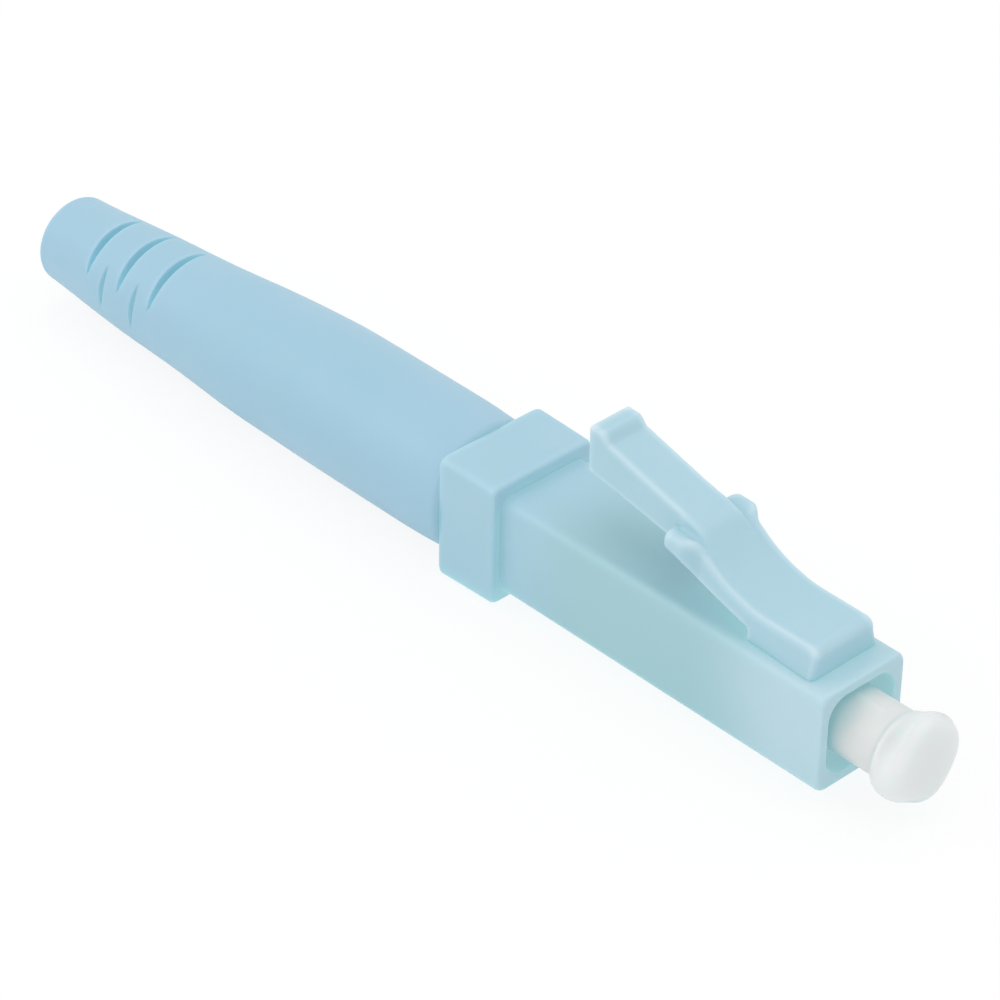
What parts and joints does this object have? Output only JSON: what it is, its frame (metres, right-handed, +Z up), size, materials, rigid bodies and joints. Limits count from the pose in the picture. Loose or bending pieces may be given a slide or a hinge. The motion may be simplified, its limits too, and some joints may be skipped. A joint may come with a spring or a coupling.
{
  "type": "lc fibre connector",
  "caption": "Small square-bodied fibre-optic plug with a springy top latch, square rear collar, slotted strain-relief boot and a dust cap over its ferrule.",
  "frame": {"origin": "bottom centre of the box round the whole part, on the surface that it lies on", "axes": "+X along the ferrule, out of the nose; +Y across the plug; +Z up, towards the latch"},
  "size_m": [0.0496, 0.006, 0.01],
  "materials": {
    "housing_plastic": "satin moulded plastic, aqua",
    "boot_rubber": "soft satin elastomer, pale aqua blue",
    "cap_plastic": "soft translucent polyethylene, natural white",
    "ceramic": "polished zirconia ceramic",
    "flange_steel": "turned stainless steel",
    "tube_ptfe": "waxy fluoropolymer",
    "spring_steel": "drawn spring steel",
    "nickel_brass": "turned brass, nickel plated",
    "sleeve_metal": "drawn and annealed"
  },
  "bodies": {
    "plug": {"housing": "housing_plastic", "crimp_body": "nickel_brass", "crimp_sleeve": "sleeve_metal", "boot": "boot_rubber", "spring": "spring_steel"},
    "latch": {"latch_lever": "housing_plastic"},
    "ferrule_assembly": {"ferrule": "ceramic", "ferrule_flange": "flange_steel", "guide_tube": "tube_ptfe"},
    "cap": {"dust_cap": "cap_plastic"}
  },
  "joints": [
    {"name": "latch_flex", "type": "hinge", "parent": "plug", "child": "latch", "pos_m": [0.01663, 0, 0.00617], "axis": [0, -1, 0], "range_deg": [0, 12], "stiffness_Nm_per_rad": 0.2},
    {"name": "ferrule_float", "type": "slide", "parent": "plug", "child": "ferrule_assembly", "axis": [-1, 0, 0], "range_m": [0, 0.001], "stiffness_N_per_m": 1500, "springref_m": -0.003, "deforming": ["spring"]},
    {"name": "cap_pull", "type": "slide", "parent": "plug", "child": "cap", "axis": [1, 0, 0], "range_m": [0, 0.006]}
  ]
}
